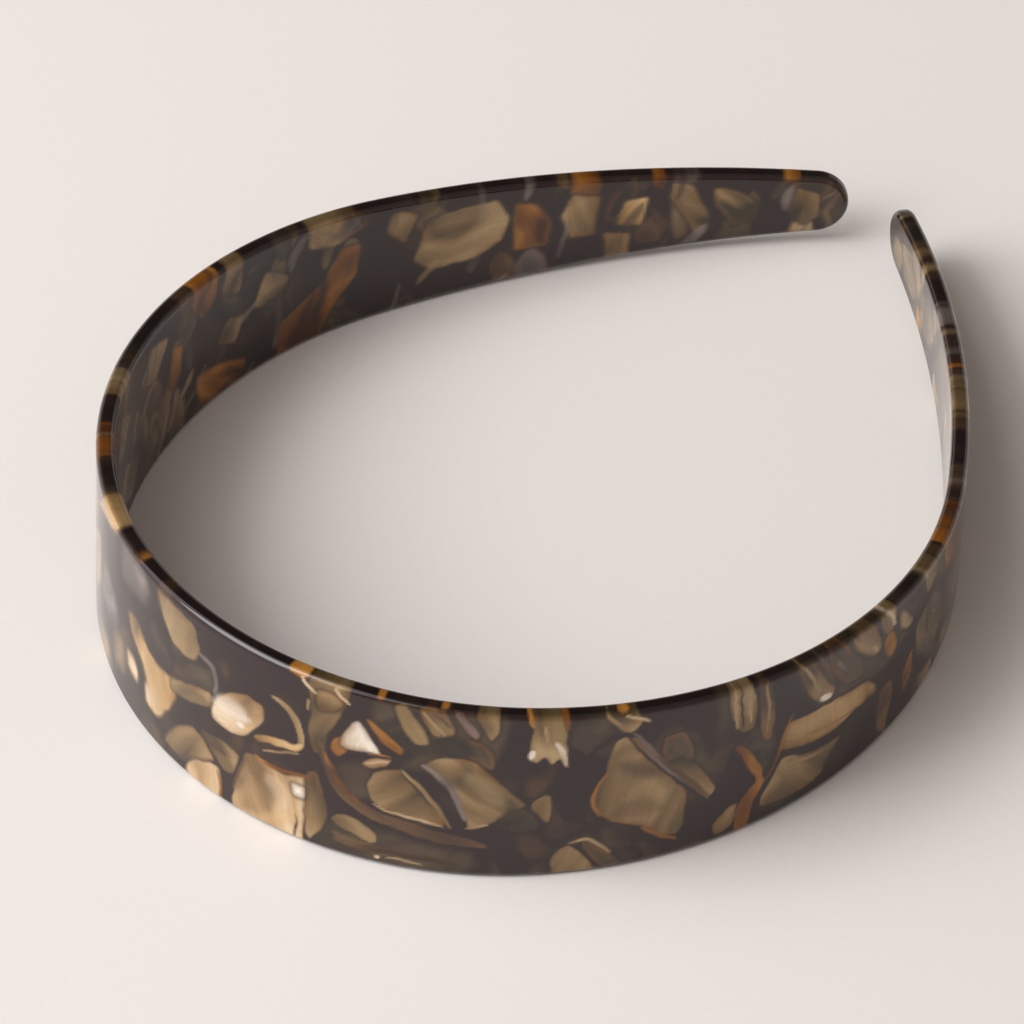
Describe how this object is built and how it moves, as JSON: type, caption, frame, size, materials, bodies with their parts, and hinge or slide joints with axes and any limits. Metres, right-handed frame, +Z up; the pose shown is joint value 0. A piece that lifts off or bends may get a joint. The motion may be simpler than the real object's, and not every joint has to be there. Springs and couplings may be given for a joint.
{
  "type": "headband",
  "caption": "Wide springy hair band bent to a C with round, tapered tips, in dark acetate with pearl, cream and amber chips, lying on one edge.",
  "frame": {"origin": "centre of the bounding box in plan, on the flat surface that the band's lower edge rests on", "axes": "+Z up, across the band's width; +Y from the wide crown towards the two tips; +X to the right when the crown is seen from outside with +Z up"},
  "size_m": [0.1182, 0.1478, 0.0301],
  "materials": {
    "matrix_acetate": "dark brown-black translucent cellulose acetate, polished",
    "pearl_acetate": "taupe to olive-gold pearlescent acetate chips, polished",
    "cream_acetate": "pale cream pearlescent acetate chips, polished",
    "amber_acetate": "translucent amber acetate chips, polished"
  },
  "bodies": {
    "crown": {"crown_matrix": "matrix_acetate", "crown_pearl_chips": "pearl_acetate", "crown_cream_chips": "cream_acetate", "crown_amber_chips": "amber_acetate"},
    "left_arm": {"left_arm_matrix": "matrix_acetate", "left_arm_pearl_chips": "pearl_acetate", "left_arm_amber_chips": "amber_acetate"},
    "left_tip": {"left_tip_matrix": "matrix_acetate", "left_tip_pearl_chips": "pearl_acetate", "left_tip_amber_chips": "amber_acetate"},
    "right_arm": {"right_arm_matrix": "matrix_acetate", "right_arm_pearl_chips": "pearl_acetate", "right_arm_cream_chips": "cream_acetate", "right_arm_amber_chips": "amber_acetate"},
    "right_tip": {"right_tip_matrix": "matrix_acetate", "right_tip_pearl_chips": "pearl_acetate", "right_tip_amber_chips": "amber_acetate"}
  },
  "joints": [
    {"name": "left_shoulder", "type": "hinge", "parent": "crown", "child": "left_arm", "pos_m": [-0.03694, -0.05932, 0.01429], "axis": [0, 0.0549, 0.9985], "range_deg": [-0.75, 12], "stiffness_Nm_per_rad": 0.9},
    {"name": "left_elbow", "type": "hinge", "parent": "left_arm", "child": "left_tip", "pos_m": [-0.05099, 0.02026, 0.00991], "axis": [0, 0.0549, 0.9985], "range_deg": [-0.55, 8.1], "stiffness_Nm_per_rad": 0.55},
    {"name": "right_shoulder", "type": "hinge", "parent": "crown", "child": "right_arm", "pos_m": [0.03694, -0.05932, 0.01429], "axis": [0, -0.0549, -0.9985], "range_deg": [-0.75, 12], "stiffness_Nm_per_rad": 0.9},
    {"name": "right_elbow", "type": "hinge", "parent": "right_arm", "child": "right_tip", "pos_m": [0.05099, 0.02026, 0.00991], "axis": [0, -0.0549, -0.9985], "range_deg": [-0.55, 8.1], "stiffness_Nm_per_rad": 0.55}
  ],
  "couplings": [
    {"joint": "left_elbow", "follows": "left_shoulder", "ratio": 0.6667},
    {"joint": "right_elbow", "follows": "right_shoulder", "ratio": 0.6667}
  ]
}
